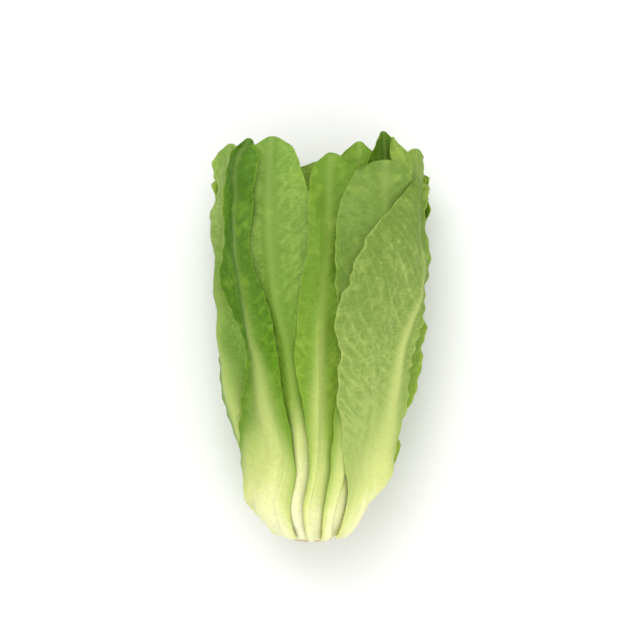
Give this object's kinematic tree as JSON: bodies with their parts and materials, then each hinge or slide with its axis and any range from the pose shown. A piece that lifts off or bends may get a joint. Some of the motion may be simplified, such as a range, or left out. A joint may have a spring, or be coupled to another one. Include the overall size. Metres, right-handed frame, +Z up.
{
  "type": "romaine lettuce head",
  "caption": "Whole romaine lettuce head lying on its back, with long green leaves, thick pale midribs and a cut butt.",
  "frame": {"origin": "middle of the underside of the head's box, on the surface it lies on", "axes": "+Z up, +Y from the cut butt to the leaf tips, +X to the right with the tips away from the viewer"},
  "size_m": [0.1429, 0.266, 0.0901],
  "materials": {
    "stem": "matt, moist",
    "heart_leaf": "satin",
    "inner_leaf": "satin",
    "middle_leaf": "satin",
    "outer_leaf": "satin"
  },
  "bodies": {
    "root": {"stem": "stem", "heart": "heart_leaf", "leaf_inner_back_right": "inner_leaf", "leaf_inner_back_left": "inner_leaf", "leaf_inner_right": "inner_leaf", "leaf_inner_front_left": "inner_leaf", "leaf_inner_front": "inner_leaf", "leaf_inner_front_right": "inner_leaf", "leaf_back_inner": "middle_leaf", "leaf_front_left": "outer_leaf", "leaf_centre": "middle_leaf", "leaf_right_back": "middle_leaf", "leaf_left_back": "middle_leaf", "leaf_left_side": "middle_leaf", "leaf_centre_right": "middle_leaf", "leaf_back": "outer_leaf", "leaf_left_front": "outer_leaf", "leaf_right_front": "outer_leaf"}
  },
  "joints": []
}
